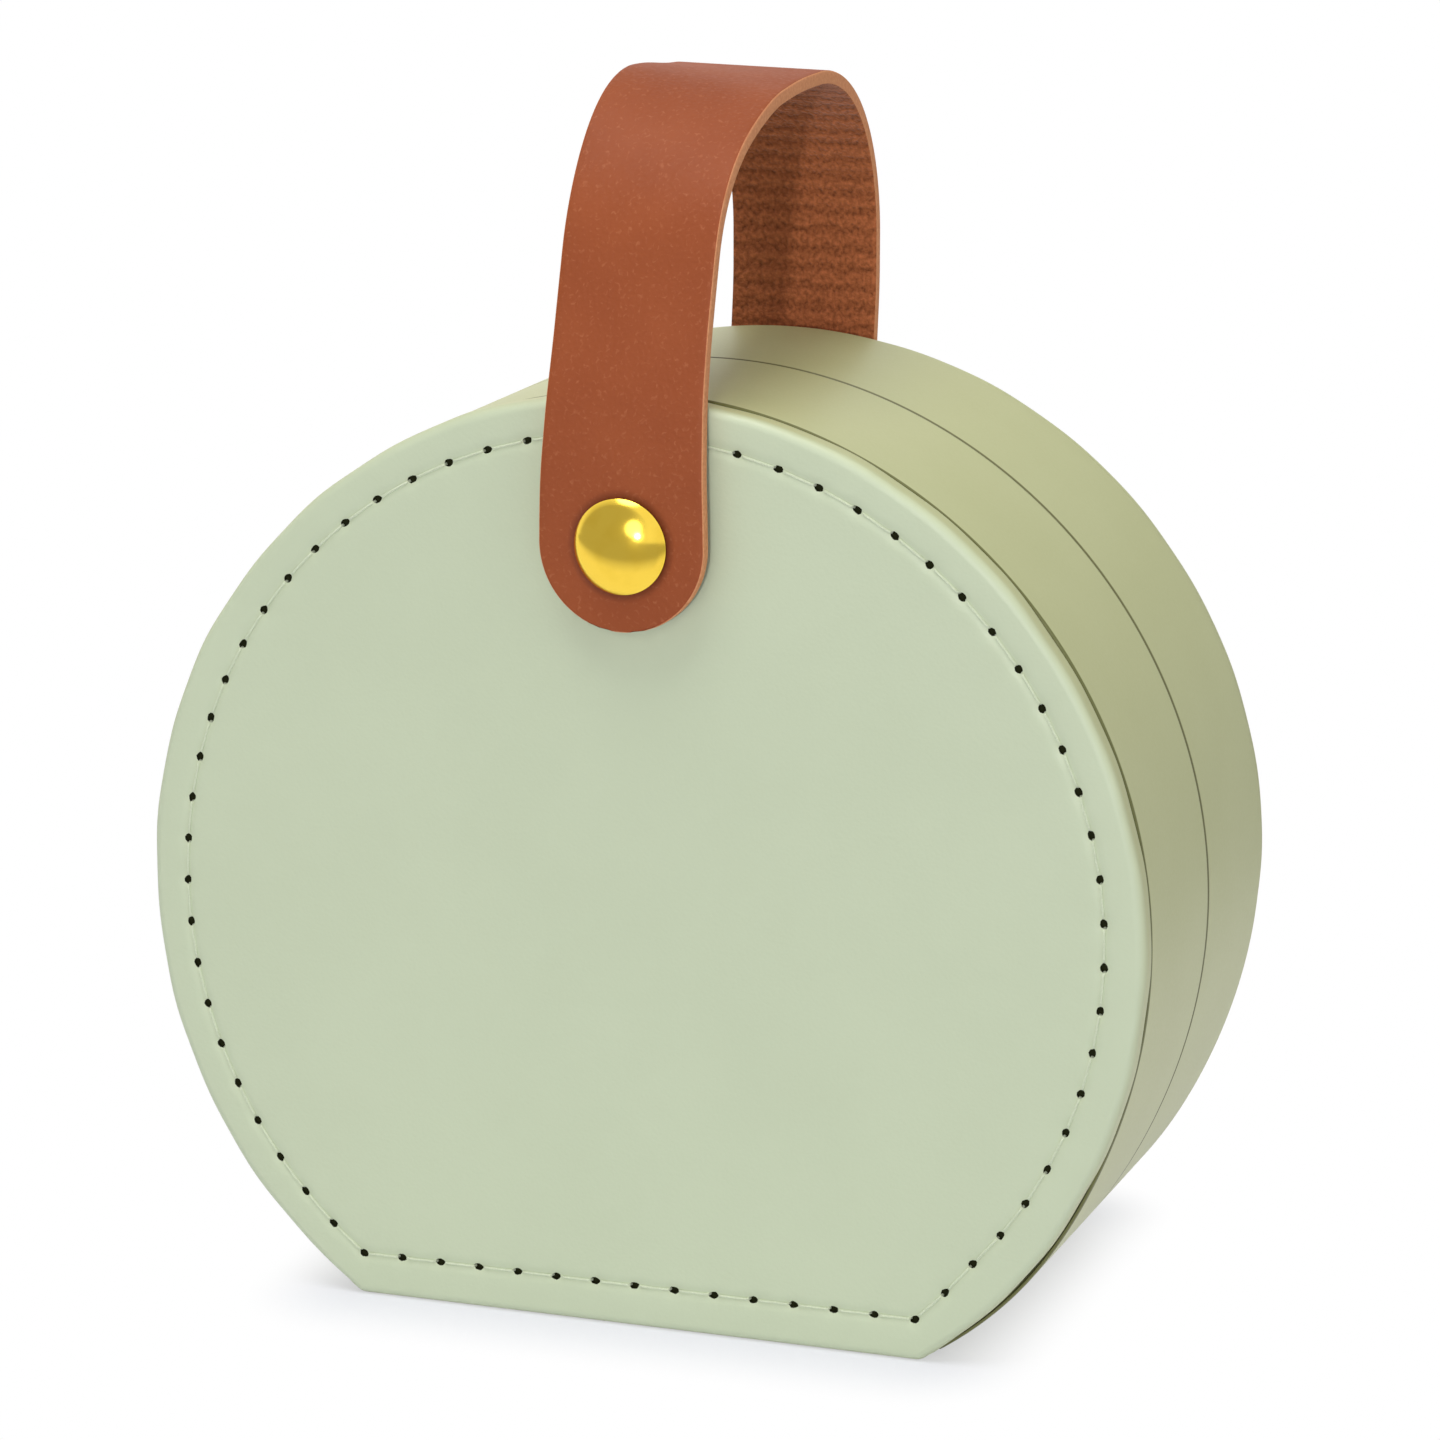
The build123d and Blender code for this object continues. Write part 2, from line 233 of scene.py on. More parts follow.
def hold(piece):
    """Selects this piece alone, as the one to work on."""
    begin()
    piece.select_set(True)
    bpy.context.view_layer.objects.active = piece


def smooth(piece):
    """Shades a piece smooth, apart from its sharp edges."""
    hold(piece)
    bpy.ops.object.shade_smooth_by_angle(angle=math.radians(40))


def copy_of(piece):
    """New piece with its own copy of this one's mesh."""
    copy = piece.copy()
    copy.data = piece.data.copy()
    bpy.context.scene.collection.objects.link(copy)
    return copy


def finish_piece(piece, material, body, *stands_for, slot=None):
    """Smooths a piece, gives it its finish, and makes it ride on its body in place of these solids."""
    smooth(piece)
    if not piece.data.materials:
        piece.data.materials.append(material)
    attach(piece, body)
    if stands_for:
        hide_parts(*stands_for)
    return piece


begin()
bpy.ops.mesh.primitive_cube_add(size=1, scale=roll_size * enlarged)
ring_roll = settle("ring_roll_cover_1")
half = roll_size * enlarged / 2
bpy.ops.object.mode_set(mode="EDIT")
pick("EDGE", lambda e: along(e, 0) and middle(e).y < 0)
bpy.ops.mesh.bevel(offset=half.z * face_round, segments=10, affect="EDGES")
pick("EDGE", lambda e: abs(abs(middle(e).x) - half.x) < 1e-6 and middle(e).y < half.y - 1e-6)
bpy.ops.mesh.bevel(offset=end_round, segments=4, affect="EDGES")
bpy.ops.object.mode_set(mode="OBJECT")
ring_roll.data.remesh_voxel_size = roll_voxel
bpy.ops.object.voxel_remesh()
start_places = [v.co.copy() for v in ring_roll.data.vertices]
glued = ring_roll.vertex_groups.new(name="glued")
seam = half.x - seam_from_end
for v in ring_roll.data.vertices:
    if v.co.y > half.y - 1.2 * roll_voxel:
        glued.add([v.index], 1.0, "REPLACE")
    elif abs(abs(v.co.x) - seam) < roll_voxel * 0.6:
        glued.add([v.index], 0.6, "REPLACE")
stuffing = ring_roll.modifiers.new("stuffing", "CLOTH")
stuffing.settings.use_pressure = True
stuffing.settings.uniform_pressure_force = 4.0
stuffing.settings.effector_weights.gravity = 0.0
stuffing.settings.vertex_group_mass = "glued"
stuffing.settings.tension_stiffness = 8.0
stuffing.settings.bending_stiffness = 0.4
for step in range(1, cloth_steps + 1):
    bpy.context.scene.frame_set(step)
bpy.ops.object.modifier_apply(modifier=stuffing.name)
bpy.context.scene.frame_set(1)
for v, start in zip(ring_roll.data.vertices, start_places):
    move = v.co - start
    if move.length > swell_limit:
        v.co = start + move * (swell_limit / move.length)
apply_modifier(ring_roll, "SMOOTH", factor=0.5, iterations=4)
roll_reach = [max(abs(v.co[axis]) for v in ring_roll.data.vertices) for axis in range(3)]
fit = [roll_size[axis] / 2 / roll_reach[axis] for axis in range(3)]
for v in ring_roll.data.vertices:
    v.co = Vector(v.co[axis] * fit[axis] for axis in range(3))
apply_modifier(ring_roll, "SUBSURF", levels=1, render_levels=1)

for number in range(4, 0, -1):
    low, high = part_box(f"ring_roll_{number}")
    roll = copy_of(ring_roll) if number > 1 else ring_roll
    roll.location = (low + high) / 2
    roll.rotation_euler = (0, math.pi * (number % 2), 0)
    hold(roll)
    settle(f"ring_roll_cover_{number}")
    finish_piece(roll, roll_velvet, "base", f"ring_roll_{number}", slot="velvet")

# Lid pad and mirror: a thin foam pad under velvet lines the lid, with a round window that frames a glass
# mirror glued to the lid's floor. The pad is fullest between its outer edge and the window.
case_radius = 55.0 * mm
centre_height = 45.0 * mm
arc_points = 400
corner_points = 4
foot_points = 88
pad_inset = 3.45 * mm
pad_low, pad_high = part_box("lid_pad")
mirror_low, mirror_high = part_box("mirror")
mirror_middle = (mirror_low + mirror_high) / 2
window_gap = 0.3 * mm
window = (mirror_high.x - mirror_low.x) / 2 + window_gap
pad_edge = 1.5 * mm
pad_roll = 3.0 * mm
pad_rows = 26


def case_loop(y, inset, foot, corner_radius=4.0 * mm):
    """Outline of the case, set in from its round side: a corner, the round, the other corner and the foot."""
    radius = case_radius - inset
    corner = max(corner_radius - inset, 0.3 * mm)
    drop = foot + corner - centre_height
    across = math.sqrt((radius - corner) ** 2 - drop**2)
    turn = math.atan2(drop, across)
    corner_step = (turn + math.pi / 2) / corner_points
    places = []
    for n in range(corner_points):
        angle = n * corner_step - math.pi / 2
        places.append((across + corner * math.cos(angle), foot + corner + corner * math.sin(angle)))
    for n in range(arc_points):
        angle = turn + (math.pi - 2 * turn) * n / arc_points
        places.append((radius * math.cos(angle), centre_height + radius * math.sin(angle)))
    for n in range(corner_points):
        angle = math.pi - turn + n * corner_step
        places.append((-across + corner * math.cos(angle), foot + corner + corner * math.sin(angle)))
    for n in range(foot_points):
        places.append((across * (2 * n / foot_points - 1), foot))
    return [Vector((x, y, z)) for x, z in places]


def skin(name, loops, closed=False, flip=False):
    """Piece that joins each loop of points to the next, and the last to the first if it is closed."""
    shape = bmesh.new()
    rows = [[shape.verts.new(point) for point in loop] for loop in loops]
    if closed:
        rows.append(rows[0])
    for row, after in zip(rows, rows[1:]):
        for n in range(len(row)):
            shape.faces.new((row[n - 1], row[n], after[n], after[n - 1]))
    if flip:
        bmesh.ops.reverse_faces(shape, faces=shape.faces)
    piece = bpy.data.objects.new(name, bpy.data.meshes.new(name))
    shape.to_mesh(piece.data)
    shape.free()
    bpy.context.scene.collection.objects.link(piece)
    return piece


outer_edge = case_loop(pad_low.y, pad_inset, pad_low.z)
window_edge = []
for point in outer_edge:
    out = Vector((point.x, 0, point.z - mirror_middle.z)).normalized()
    window_edge.append(Vector((0, pad_low.y, mirror_middle.z)) + out * window)
pad_loops = [outer_edge]
crown = pad_high.y - pad_low.y - pad_edge
for n in range(pad_rows + 1):
    share = (1 - math.cos(math.pi * n / pad_rows)) / 2
    row = []
    for far, near in zip(outer_edge, window_edge):
        inside = (near - far).length * min(share, 1 - share)
        fullness = 1 - (1 - min(inside / pad_roll, 1.0)) ** 2
        row.append(far.lerp(near, share) + Vector((0, pad_edge + crown * math.sqrt(fullness), 0)))
    pad_loops.append(row)
pad_loops.append(window_edge)
lid_pad_cover = skin("lid_pad_cover", pad_loops, closed=True, flip=True)
finish_piece(lid_pad_cover, lining_velvet, "lid", "lid_pad", slot="velvet")

fine_smudges, given, gives = effect("fine_smudges", {"Scale": 300.0}, ["Mask"])
wipes = node(fine_smudges, "TexNoise", {"Vector": given["Vector"], "Scale": given["Scale"], "Detail": 5.0})
fine_smudges.links.new(level(fine_smudges, wipes.outputs["Fac"], 0.0, 1.0, 0.45, 0.75), gives["Mask"])

mirror_glass, tree, surface = finish("mirror_glass", {"Metallic": 1.0})
smudge = placed(tree, fine_smudges, {"Vector": node(tree, "TexCoord").outputs["Object"], "Scale": 120.0})
tree.links.new(
    tone(tree, smudge["Mask"], colour(236, 240, 241), colour(233, 238, 239)), surface.inputs["Base Color"]
)
tree.links.new(level(tree, smudge["Mask"], 0.012, 0.025), surface.inputs["Roughness"])
dress(mirror_glass, "mirror")

# Rim covers: leatherette glued round the outside of each shell, rolled over its lip and tucked down inside.
# The two lips meet at the case's middle, where the roll leaves a fine line, darkened with painted shade.
rim_inset = 0.1 * mm
rim_corner = 1.8 * mm
rim_foot = 0.6 * mm
rim_lip_width = 3.1 * mm
rim_wrap = 0.5 * mm
rim_tuck = 8.0 * mm
lip_roll = 0.3 * mm
back_ease = 0.3 * mm
lip_gap = 0.02 * mm
low_fullness = 0.8 * mm
fullness_slope = -44.0
fullness_spread = 16.0
fullness_from = 52.0 * mm
fullness_fade = 2.0 * mm
side_depth = 24.6 * mm
face_depth = 25.9 * mm
quarter = [math.radians(step) for step in (0, 22.5, 45, 67.5, 90)]

leather_grain, given, gives = effect("leather_grain", {"Cell": 2400.0, "Swell": 60.0}, ["Height", "Shade"])
pebbles = node(
    leather_grain,
    "TexVoronoi",
    {"Vector": given["Vector"], "Scale": given["Cell"], "Smoothness": 0.6},
    feature="SMOOTH_F1",
)
pores = node(leather_grain, "TexNoise", {"Vector": given["Vector"], "Scale": given["Cell"], "Detail": 3.0})
swells = node(leather_grain, "TexNoise", {"Vector": given["Vector"], "Scale": given["Swell"], "Detail": 2.0})
raised = level(leather_grain, pebbles.outputs["Distance"], 1.0, 0.0, 0.0, 0.7)
pitted = level(leather_grain, pores.outputs["Fac"], 0.0, 0.4, 0.3, 0.7)
leather_grain.links.new(maths(leather_grain, "MULTIPLY_ADD", raised, 0.6, pitted), gives["Height"])
leather_grain.links.new(level(leather_grain, swells.outputs["Fac"], 0.0, 1.0, 0.35, 0.65), gives["Shade"])


def vector_maths(tree, operation, *values):
    """Result of a sum on places or directions: a length or another place."""
    made = node(tree, "VectorMath", dict(enumerate(values)), operation=operation)
    return made.outputs["Value" if operation in ("DISTANCE", "LENGTH", "DOT_PRODUCT") else "Vector"]


# Painted shade: a mask that darkens the leatherette along a seam's groove, on its outer part and along the
# foot, where shade falls.
painted_seam_shade, given, gives = effect("painted_seam_shade", {"Seam": 0.0, "Reach": 0.001}, ["Mask"])
spot = node(painted_seam_shade, "SeparateXYZ", {"Vector": given["Vector"]}).outputs
off_seam = maths(painted_seam_shade, "ABSOLUTE", maths(painted_seam_shade, "SUBTRACT", spot["Y"], given["Seam"]))
near = level(painted_seam_shade, maths(painted_seam_shade, "DIVIDE", off_seam, given["Reach"]), 1.0, 0.0, 0.7, 1.1)
from_axis = vector_maths(painted_seam_shade, "MULTIPLY", given["Vector"], (1, 0, 1))
from_axis = vector_maths(painted_seam_shade, "DISTANCE", from_axis, (0, 0, centre_height))
outside = level(painted_seam_shade, from_axis, 0.0, 1.0, case_radius - 1.2 * mm, case_radius - 0.7 * mm)
under = level(painted_seam_shade, spot["Z"], 1.0, 0.0, 1.0 * mm, 1.5 * mm)
outside = maths(painted_seam_shade, "MAXIMUM", outside, under)
painted_seam_shade.links.new(maths(painted_seam_shade, "MULTIPLY", near, outside), gives["Mask"])


def leatherette(name, dark, light, grain_depth, seams, side_tone=None):
    """Satin leatherette with a fine grain, with painted shade at its seams and, if given, of another tone at
    its side.
    """
    made, tree, surface = finish(name, {"IOR": 1.45, "Coat Weight": 0.14, "Coat Roughness": 0.35})
    place = node(tree, "TexCoord").outputs["Object"]
    grain = placed(tree, leather_grain, {"Vector": place})
    shade = tone(tree, grain["Shade"], dark, light)
    if side_tone:
        depth = maths(tree, "ABSOLUTE", node(tree, "SeparateXYZ", {"Vector": place}).outputs["Y"])
        shade = tone(tree, level(tree, depth, 1.0, 0.0, side_depth, face_depth), shade, side_tone)
    for seam, reach, shade_colour in seams:
        mask = placed(tree, painted_seam_shade, {"Vector": place, "Seam": seam, "Reach": reach})["Mask"]
        shade = tone(tree, mask, shade, shade_colour)
    tree.links.new(shade, surface.inputs["Base Color"])
    tree.links.new(level(tree, grain["Height"], 0.5, 0.4), surface.inputs["Roughness"])
    relief(tree, surface, grain["Height"], grain_depth)
    return made


# Painted shade, dark olive, in the parting line between the lips and in the groove between the front panel and
# its rim.
parting_line_shade = (0.0, 0.38 * mm, colour(104, 104, 62))
panel_seam_shade = (-22.6 * mm, 0.42 * mm, colour(104, 106, 56))
rim_tone = colour(194, 197, 146)
rim_leatherette = leatherette(
    "rim_leatherette", colour(191, 194, 142), rim_tone, 0.015 * mm, [parting_line_shade, panel_seam_shade]
)

for name, side, body in (("front_rim_cover", -1, "lid"), ("rear_rim_cover", 1, "base")):
    low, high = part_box(name)
    lip, back = side * lip_gap, (high.y if side > 0 else low.y)
    roll = [(lip_roll * (1 - math.cos(a)), lip_roll * (1 - math.sin(a))) for a in quarter]
    rows = [(rim_lip_width, lip + side * rim_tuck), (rim_lip_width, lip + side * 2 * lip_roll)]
    rows += [(rim_lip_width - set_in, lip + side * deep) for set_in, deep in roll]
    rows += [(set_in, lip + side * deep) for set_in, deep in reversed(roll)]
    rows += [(0.0, lip + side * 2 * lip_roll)]
    rows += [(0.0, back - side * 2 * back_ease), (0.0, back - side * back_ease)]
    rows += [(0.3 * back_ease, back - side * 0.3 * back_ease), (back_ease, back)]
    loops = [case_loop(y, rim_inset + set_in, rim_foot + set_in, rim_corner) for set_in, y in rows]
    wrap = skin(name.replace("cover", "wrap"), loops, flip=side > 0)
    for v in wrap.data.vertices:
        out = Vector((v.co.x, 0, v.co.z - centre_height))
        slope = math.degrees(math.atan2(out.z, abs(out.x)))
        on_outside = min(max((out.length - fullness_from) / fullness_fade, 0.0), 1.0)
        if v.co.z > rim_foot + 0.1 * mm:
            fullness = math.exp(-(((slope - fullness_slope) / fullness_spread) ** 2))
            v.co += out.normalized() * low_fullness * on_outside * fullness
    apply_modifier(wrap, "SOLIDIFY", thickness=rim_wrap, offset=-1.0)
    finish_piece(wrap, rim_leatherette, body, name, slot="leatherette")

# Hinge strip: one piece of leatherette glued under the flat foot of both halves. It is the case's only hinge,
# and it creases along the line where the halves meet.
strip_low, strip_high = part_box("hinge_leaf_front")
strip_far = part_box("hinge_leaf_rear")[1]
strip_thickness = strip_high.z - strip_low.z
strip_edge = 0.25 * mm

begin()
bpy.ops.mesh.primitive_grid_add(x_subdivisions=54, y_subdivisions=84, size=1)
bpy.context.object.scale = (strip_far.x - strip_low.x, strip_far.y - strip_low.y, 1)
bpy.context.object.location = (0, (strip_far.y + strip_low.y) / 2, strip_high.z)
hinge_strip = settle("hinge_strip")
apply_modifier(hinge_strip, "SOLIDIFY", thickness=strip_thickness, offset=-1.0)
bpy.ops.object.mode_set(mode="EDIT")
pick("EDGE", lambda e: e.calc_face_angle(0) > 1.0 and middle(e).z < strip_high.z / 2 and not along(e, 2))
bpy.ops.mesh.bevel(offset=strip_edge, segments=3, affect="EDGES")
smooth(hinge_strip)
hinge_strip.data.materials.append(rim_leatherette)
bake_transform(hinge_strip)
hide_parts("hinge_leaf_rear", "hinge_leaf_front")

# Panel boards: greyboard discs that stiffen the two stitched panels. They are sealed inside the leatherette.
greyboard, tree, surface = finish("greyboard", {"Specular IOR Level": 0.2})
place = node(tree, "TexCoord").outputs["Object"]
pulp = node(tree, "TexNoise", {"Vector": place, "Scale": 700.0, "Detail": 6.0}).outputs["Fac"]
tree.links.new(tone(tree, pulp, colour(142, 138, 130), colour(172, 168, 160)), surface.inputs["Base Color"])
tree.links.new(level(tree, pulp, 0.8, 0.95), surface.inputs["Roughness"])
relief(tree, surface, pulp, 0.03 * mm)
dress(greyboard, "front_panel_board", "back_panel_board")

# Stitched panels: the round front and back, each leatherette stretched over a greyboard, rolled round its
# edge and turned in behind. A row of stitches runs 4 mm in from the edge and pulls the leatherette down at
# every hole.
panel_face = 26.0 * mm
panel_back = 22.6 * mm
panel_corner = 1.6 * mm
edge_roll = 1.0 * mm
back_edge_roll = 2.4 * mm
back_roll = 0.7 * mm
edge_unevenness = 0.07 * mm
seam_slit = 0.15 * mm
back_seam_slit = 0.05 * mm
back_set_in = 0.4 * mm
turn_in = 9.0 * mm
cover_sheet = 0.5 * mm
stitch_inset = 4.0 * mm
stitch_foot = 4.6 * mm
stitch_count = 55
foot_stitch_count = 14
row_stray = 0.9 * mm
groove_depth = 0.15 * mm
groove_width = 0.55 * mm
dimple_depth = 0.14 * mm
dimple_width = 0.9 * mm
hole_length = 0.64 * mm
hole_width = 0.5 * mm
punch_depth = 1.2 * mm

panel_leatherette = leatherette(
    "panel_leatherette", colour(195, 205, 174), colour(197, 207, 176), 0.012 * mm, [panel_seam_shade], rim_tone
)
# Needle holes: their insides are painted near black, as painted shade in the pits.
needle_hole, tree, surface = finish("needle_hole", {"Specular IOR Level": 0.1})
place = node(tree, "TexCoord").outputs["Object"]
hole_shade = node(tree, "TexNoise", {"Vector": place, "Scale": 2500.0}).outputs["Fac"]
tree.links.new(tone(tree, hole_shade, colour(22, 24, 10), colour(48, 50, 26)), surface.inputs["Base Color"])
tree.links.new(level(tree, hole_shade, 0.8, 1.0), surface.inputs["Roughness"])

# Needle holes in order round the panel: along the foot from left to right, up the right side and over the top
stitch_radius = case_radius - stitch_inset
stitch_corner = math.asin((stitch_foot - centre_height) / stitch_radius)
stitch_half = stitch_radius * math.cos(stitch_corner)
needle_holes = [
    Vector((stitch_half * (2 * n / foot_stitch_count - 1), 0, stitch_foot)) for n in range(foot_stitch_count)
]
stitch_step = (math.pi - 2 * stitch_corner) / stitch_count


def row_radius(turn):
    """Radius of the sewn row at this angle. It strays inwards for a dozen stitches above the right corner."""
    stitches = (turn - stitch_corner) / stitch_step
    return stitch_radius - row_stray * min(max(stitches / 2, 0.0), 1.0) * max(1 - stitches / 12, 0.0)


for n in range(stitch_count):
    turn = stitch_corner + stitch_step * n
    radius = row_radius(turn)
    needle_holes.append(Vector((radius * math.cos(turn), 0, centre_height + radius * math.sin(turn))))


def stitch_distance(point):
    """Distance from the stitch line, for a point of the panel's face."""
    turn = math.atan2(point.z - centre_height, point.x)
    to_arc = abs(math.hypot(point.x, point.z - centre_height) - row_radius(turn))
    to_foot = abs(point.z - stitch_foot)
    if abs(point.x) > stitch_half:
        to_foot = math.hypot(to_foot, abs(point.x) - stitch_half)
    if point.z < stitch_foot:
        to_arc = to_foot
    return min(to_arc, to_foot)


def unevenness(point):
    """Small swell of the rolled edge, as hand-turned leatherette has."""
    turn = math.atan2(point.z - centre_height, point.x)
    waves = math.sin(7 * turn + 1.0) + 0.7 * math.sin(17 * turn + 0.4) + 0.6 * math.sin(33 * turn + 2.1)
    return edge_unevenness * waves


def stitched_panel(name, side):
    """Leatherette of the front panel (side -1) or the back one (side 1), from its turn-in to its middle."""
    edge = edge_roll if side < 0 else back_edge_roll
    slit = seam_slit if side < 0 else back_seam_slit
    set_back = 0.0 if side < 0 else back_set_in
    turns = [math.pi / 20 * n for n in range(11)]
    roll = [(edge * (1 - math.cos(turn)), edge * math.sin(turn)) for turn in turns]
    rows = [(turn_in, panel_back), (3.0 * mm, panel_back), (2.6 * mm, panel_back + slit)]
    rows += [(2 * back_roll, panel_back + slit)]
    for a in reversed(quarter):
        rows.append((back_roll * (1 - math.cos(a)), panel_back + slit + back_roll * (1 - math.sin(a))))
    rows += [(set_in, panel_face - edge + rise) for set_in, rise in roll]
    rows += [(inset * mm, panel_face) for inset in (2.6, 2.8)]
    rows += [((3.0 + 0.2 * n) * mm, panel_face) for n in range(17)]
    rows += [(inset * mm, panel_face) for inset in (6.8, 8.0, 11.0, 16.0, 24.0, 34.0)]
    loops = [case_loop(side * y, inset + set_back, inset, panel_corner) for inset, y in rows]
    piece = skin(name, loops, flip=side > 0)
    bpy.context.view_layer.objects.active = piece
    bpy.ops.object.mode_set(mode="EDIT")
    pick("EDGE", lambda e: e.is_boundary and abs(middle(e).y) > panel_face - 1.0 * mm)
    bpy.ops.mesh.edge_face_add()
    bpy.ops.object.mode_set(mode="OBJECT")
    for v in piece.data.vertices:
        depth = min(case_radius - math.hypot(v.co.x, v.co.z - centre_height), v.co.z)
        if abs(v.co.y) > panel_face - 1e-6 and depth < 8.0 * mm:
            flat = Vector((v.co.x, 0, v.co.z))
            nearest = min((flat - hole).length for hole in needle_holes)
            sunk = groove_depth * math.exp(-((stitch_distance(v.co) / groove_width) ** 2))
            sunk += dimple_depth * math.exp(-((nearest / dimple_width) ** 2))
            v.co.y -= side * sunk
        elif depth < edge_roll and v.co.z > 1.0 * mm:
            outward = Vector((v.co.x, 0, v.co.z - centre_height)).normalized()
            v.co += outward * unevenness(v.co) * (1 - max(depth, 0.0) / edge_roll)
    piece.data.materials.append(panel_leatherette)
    apply_modifier(piece, "SOLIDIFY", thickness=cover_sheet, offset=-1.0)
    return piece


def joined(pieces, name):
    """One piece of this name, made of all of these."""
    begin()
    for piece in pieces:
        piece.select_set(True)
    bpy.context.view_layer.objects.active = pieces[0]
    bpy.ops.object.join()
    return settle(name)


def needle_punches(side):
    """One short tapered punch for each needle hole, slightly turned this way and that."""
    chance = random.Random(7 + side)
    begin()
    inward = (-side * math.pi / 2, 0, 0)
    bpy.ops.mesh.primitive_cone_add(
        vertices=10, radius1=hole_width, radius2=hole_width * 0.5, depth=punch_depth, rotation=inward
    )
    punch = settle("needle_punch")
    punch.data.materials.append(needle_hole)
    punches = []
    for n, hole in enumerate(needle_holes):
        after = needle_holes[(n + 1) % len(needle_holes)]
        before = needle_holes[n - 1]
        run = (after - before).normalized()
        copy = copy_of(punch)
        for v in copy.data.vertices:
            v.co.x *= hole_length / hole_width * chance.uniform(0.82, 1.16)
            v.co.z *= chance.uniform(0.85, 1.12)
        copy.location = (hole.x, side * (panel_face - 0.02 * mm), hole.z)
        copy.rotation_euler = (0, -math.atan2(run.z, run.x) + chance.uniform(-0.2, 0.2), 0)
        punches.append(copy)
    bpy.data.objects.remove(punch)
    return joined(punches, "needle_punches")


for name, side, body in (("front_panel_cover", -1, "lid"), ("back_panel_cover", 1, "base")):
    panel = stitched_panel(name.replace("cover", "leather"), side)
    punches = needle_punches(side)
    cut = {"operation": "DIFFERENCE", "solver": "MANIFOLD", "material_mode": "TRANSFER"}
    apply_modifier(panel, "BOOLEAN", object=punches, **cut)
    bpy.data.objects.remove(punches)
    finish_piece(panel, panel_leatherette, body, name, slot="leatherette")

# Stitching: one waxed thread in the leatherette's own colour, laid in the groove from hole to hole and
# pulled down into each of them.
thread_radius = 0.14 * mm
thread_sunk = 0.13 * mm
thread_dip = 0.6 * mm
thread_end = 0.83
thread_bend = 0.64

waxed_thread, tree, surface = finish("waxed_thread", {"Sheen Weight": 0.2, "Sheen Roughness": 0.5})
place = node(tree, "TexCoord").outputs["Object"]
twist = node(tree, "TexNoise", {"Vector": place, "Scale": 5200.0, "Detail": 2.0}).outputs["Fac"]
tree.links.new(tone(tree, twist, colour(188, 198, 165), colour(214, 222, 196)), surface.inputs["Base Color"])
tree.links.new(level(tree, twist, 0.5, 0.7), surface.inputs["Roughness"])
relief(tree, surface, twist, 0.05 * mm)


def stitches(name, side):
    """All stitches of a panel: one is modelled straight, then copied into place."""
    reach = (needle_holes[1] - needle_holes[0]).length / 2
    begin()
    bpy.ops.mesh.primitive_cylinder_add(
        vertices=8, radius=thread_radius, depth=2 * reach * thread_end, rotation=(0, math.pi / 2, 0)
    )
    stitch = settle("stitch")
    bpy.ops.object.mode_set(mode="EDIT")
    for cut in (-0.79, -0.74, -0.68, -0.55, -0.3, 0.0, 0.3, 0.55, 0.68, 0.74, 0.79):
        bpy.ops.mesh.select_all(action="SELECT")
        bpy.ops.mesh.bisect(plane_co=(cut * reach, 0, 0), plane_no=(1, 0, 0))
    bpy.ops.object.mode_set(mode="OBJECT")
    for v in stitch.data.vertices:
        share = abs(v.co.x) / reach
        dip = max(share - thread_bend, 0.0) / (thread_end - thread_bend)
        v.co.y = v.co.y - side * (thread_sunk + thread_dip * dip**2)
    copies = []
    for n, hole in enumerate(needle_holes):
        after = needle_holes[(n + 1) % len(needle_holes)]
        run = after - hole
        copy = copy_of(stitch)
        copy.location = (hole + after) / 2 + Vector((0, side * panel_face, 0))
        copy.rotation_euler = (0, -math.atan2(run.z, run.x), 0)
        copy.scale = (run.length / (2 * reach), 1, 1)
        copies.append(copy)
    bpy.data.objects.remove(stitch)
    return joined(copies, name)


finish_piece(stitches("front_stitching", -1), waxed_thread, "lid")
finish_piece(stitches("back_stitching", 1), waxed_thread, "base")

# Press stud and rivet: turned and stamped brass, polished and gold plated. A domed cap shows on the front of
# the strap and another at its rear end, and the socket and stud snap together behind the front one.
cap_low, cap_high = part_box("snap_cap")
stud_height = (cap_low.z + cap_high.z) / 2
cap_radius = (cap_high.x - cap_low.x) / 2
snap_seat = -29.0 * mm
rivet_seat = 27.55 * mm
cap_sunk = 0.3 * mm
cap_rise = 1.9 * mm
cap_lip = 0.35 * mm

gold_plate, tree, surface = finish("gold_plate", {"Metallic": 1.0})
smudge = placed(tree, fine_smudges, {"Vector": node(tree, "TexCoord").outputs["Object"], "Scale": 420.0})
tree.links.new(
    tone(tree, smudge["Mask"], colour(252, 214, 80), colour(246, 206, 70)), surface.inputs["Base Color"]
)
tree.links.new(level(tree, smudge["Mask"], 0.13, 0.2), surface.inputs["Roughness"])


def turned(name, profile):
    """Spins an outline of radius and depth about the press stud's axis."""
    begin()
    first = profile[0]
    bpy.ops.mesh.primitive_plane_add(size=0.1 * mm, location=(first[0], first[1], stud_height))
    bpy.ops.object.mode_set(mode="EDIT")
    pick("VERT", lambda v: True)
    bpy.ops.mesh.merge(type="CENTER")
    pick("VERT", lambda v: True)
    for here, after in zip(profile, profile[1:]):
        step = (after[0] - here[0], after[1] - here[1], 0)
        bpy.ops.mesh.extrude_vertices_move(TRANSFORM_OT_translate={"value": step})
    bpy.ops.mesh.select_all(action="SELECT")
    bpy.ops.mesh.spin(steps=72, angle=2 * math.pi, center=(0, 0, stud_height), axis=(0, 1, 0))
    bpy.ops.mesh.select_all(action="SELECT")
    bpy.ops.mesh.remove_doubles(threshold=0.005 * mm)
    bpy.ops.mesh.normals_make_consistent(inside=False)
    return settle(name)


